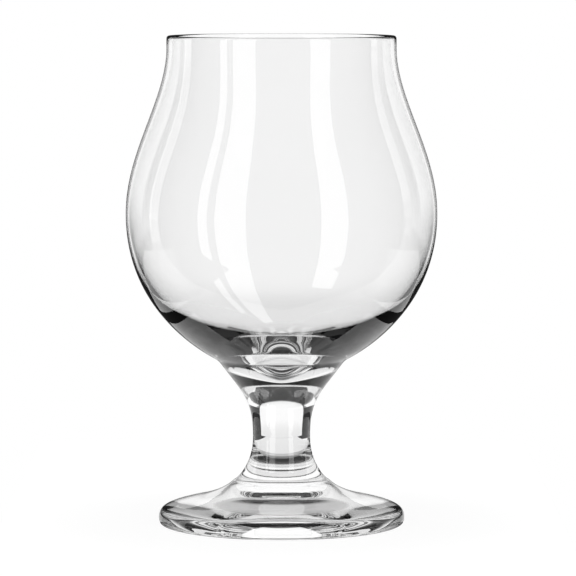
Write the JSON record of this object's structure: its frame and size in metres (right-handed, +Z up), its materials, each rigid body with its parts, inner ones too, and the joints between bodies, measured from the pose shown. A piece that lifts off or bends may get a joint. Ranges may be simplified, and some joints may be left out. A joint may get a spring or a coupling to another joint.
{
  "type": "beer taster glass",
  "caption": "Clear stemmed tulip glass with a round belly narrowing to a smooth upright rim, a short waisted stem and a wide domed foot, for small servings of beer.",
  "frame": {"origin": "centre of the foot's resting ring, on the surface that the glass stands on", "axes": "+Z up along the glass's axis, from the foot to the rim; X and Y are alike"},
  "size_m": [0.0662, 0.0662, 0.1042],
  "materials": {
    "blown_glass": "clear, blown, fire-polished",
    "pressed_glass": "clear, pressed, faintly rippled"
  },
  "bodies": {
    "root": {"bowl": "blown_glass", "stem": "pressed_glass", "foot": "pressed_glass"}
  },
  "joints": []
}
